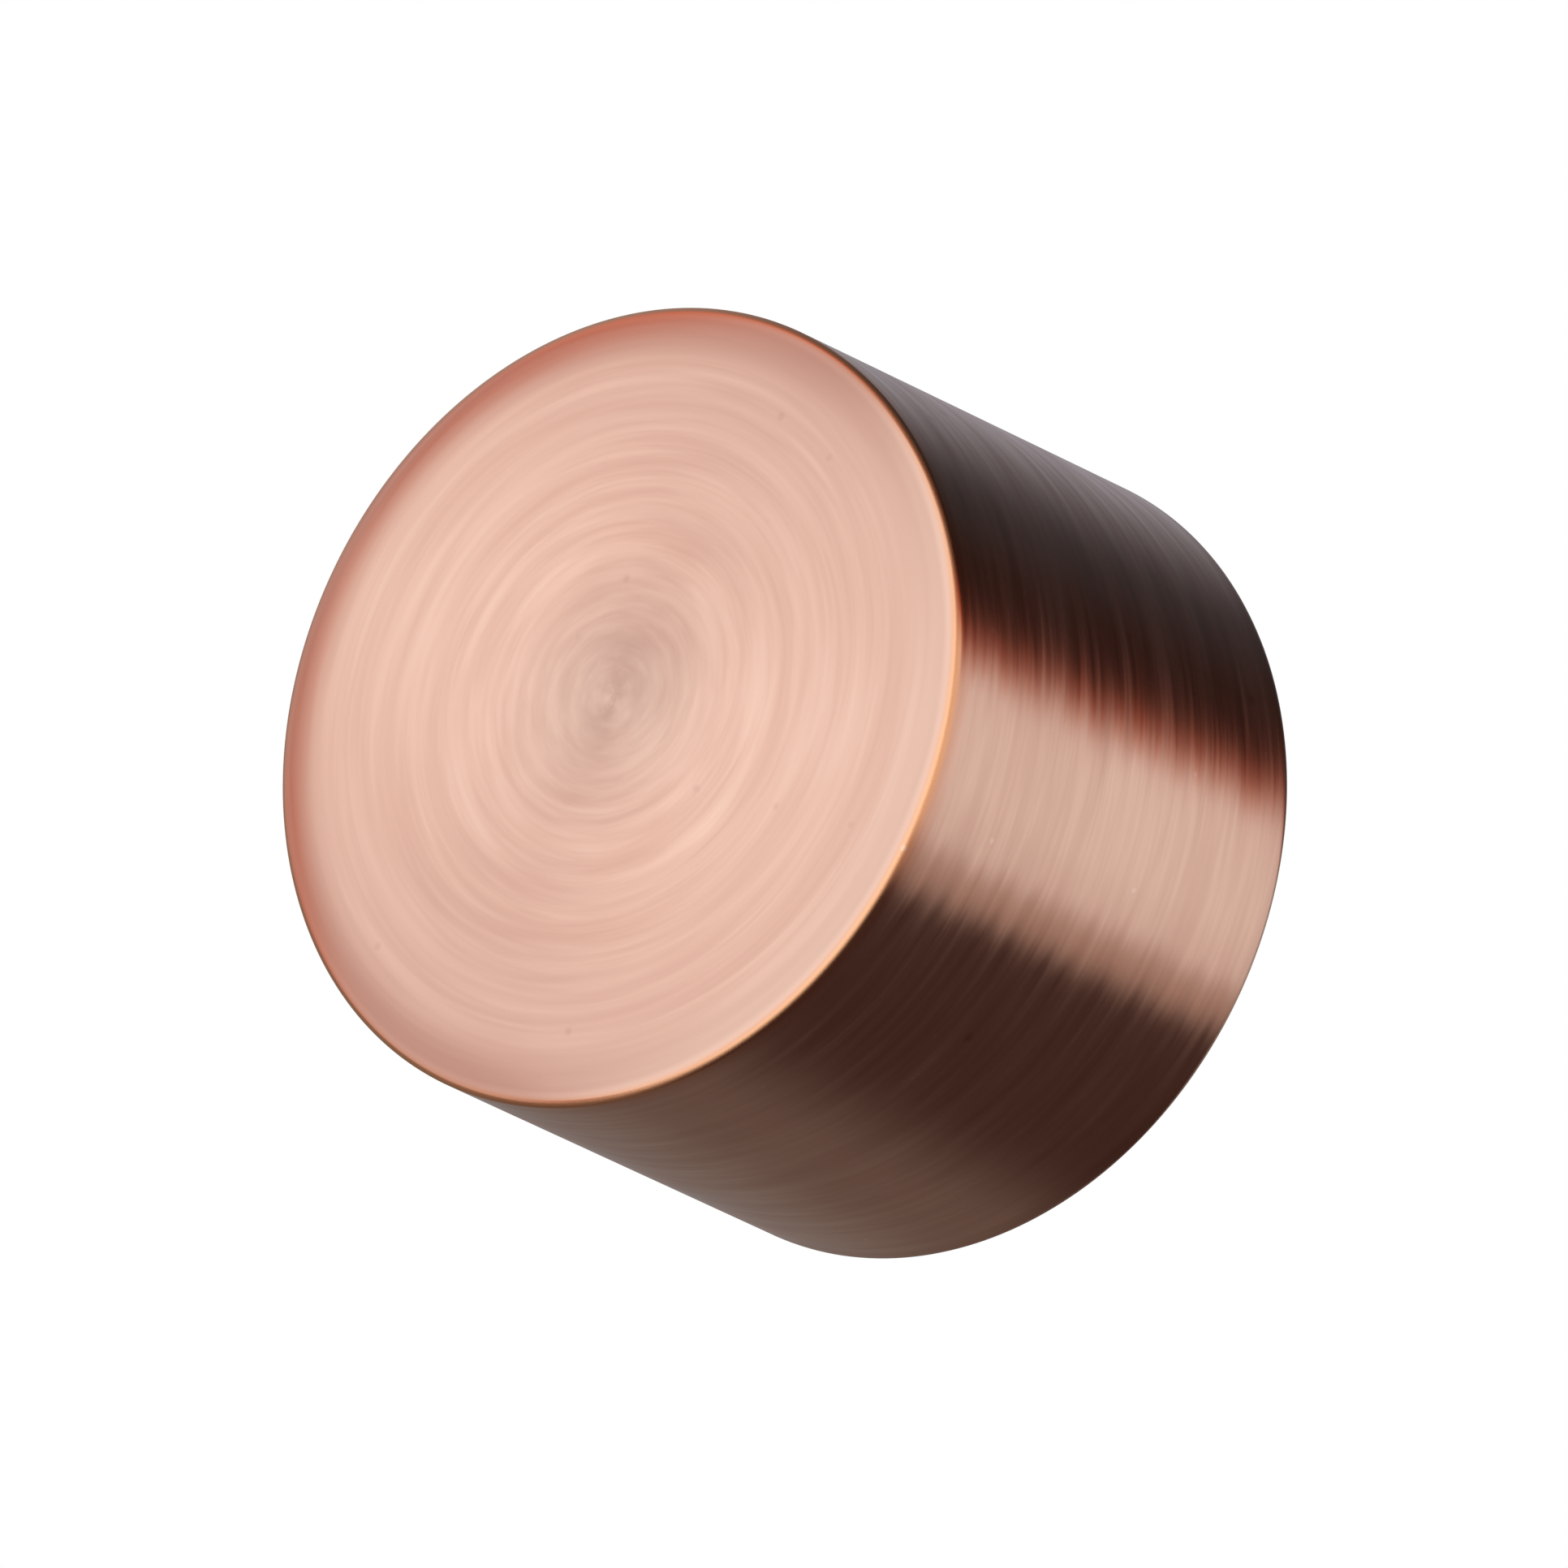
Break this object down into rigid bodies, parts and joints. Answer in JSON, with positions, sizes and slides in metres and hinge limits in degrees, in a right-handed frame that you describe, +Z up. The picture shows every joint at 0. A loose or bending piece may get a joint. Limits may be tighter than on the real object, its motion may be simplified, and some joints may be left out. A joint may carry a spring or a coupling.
{
  "type": "curtain pole finial",
  "caption": "Plain round end cap finial in brushed copper-coloured metal, with a blind socket that slips over the end of a curtain pole and a grub screw that grips the pole.",
  "frame": {"origin": "centre of the flat seat at the end of the socket, where the cut end of the pole stops", "axes": "+X along the pole and out of the socket's mouth, +Y towards the wall behind the pole, +Z up"},
  "size_m": [0.0263, 0.037, 0.037],
  "materials": {
    "brushed_copper": "brushed copper",
    "dark_steel": "oiled dark steel"
  },
  "bodies": {
    "root": {"end_cap": "brushed_copper", "grub_screw": "dark_steel"}
  },
  "joints": []
}
